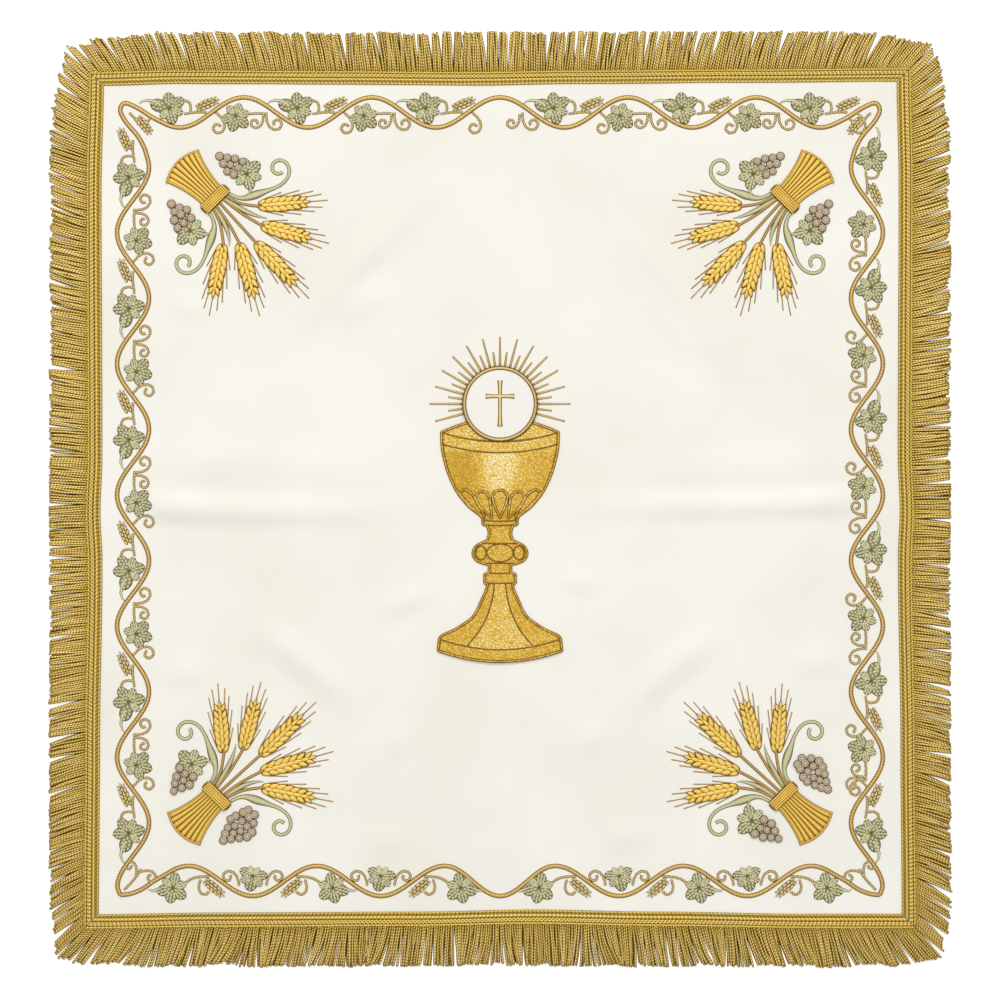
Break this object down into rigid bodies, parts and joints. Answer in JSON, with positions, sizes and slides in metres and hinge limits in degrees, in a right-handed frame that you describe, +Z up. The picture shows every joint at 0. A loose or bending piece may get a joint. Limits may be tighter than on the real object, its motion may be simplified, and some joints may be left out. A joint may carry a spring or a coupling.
{
  "type": "chalice veil",
  "caption": "Flat ivory satin veil for covering a cup, edged with gold braid and a twisted fringe, with a padded cup and host in the middle, corner wheat sheaves and a vine border.",
  "frame": {"origin": "on the surface the veil lies on, under the middle of the whole outline, fringe included", "axes": "+Z up out of the face of the cloth, +Y towards the edge above the host, +X towards the right edge as the emblem is looked at"},
  "size_m": [0.6006, 0.6224, 0.0048],
  "materials": {
    "satin": "satin",
    "braid": "metallic gold thread",
    "fringe": "twisted metallic gold thread",
    "emblem": "gold satin stitch",
    "wheat": "gold satin stitch",
    "vine": "couched tan cord",
    "leaf": "green satin stitch",
    "grape": "mauve satin stitch"
  },
  "bodies": {
    "root": {"panel": "satin", "braid_top": "braid", "braid_bottom": "braid", "braid_left": "braid", "braid_right": "braid", "fringe_top": "fringe", "fringe_bottom": "fringe", "fringe_left": "fringe", "fringe_right": "fringe", "emblem_chalice": "emblem", "emblem_host": "emblem", "sheaf_top_left": "wheat", "sheaf_top_right": "wheat", "sheaf_bottom_left": "wheat", "sheaf_bottom_right": "wheat"}
  },
  "joints": []
}
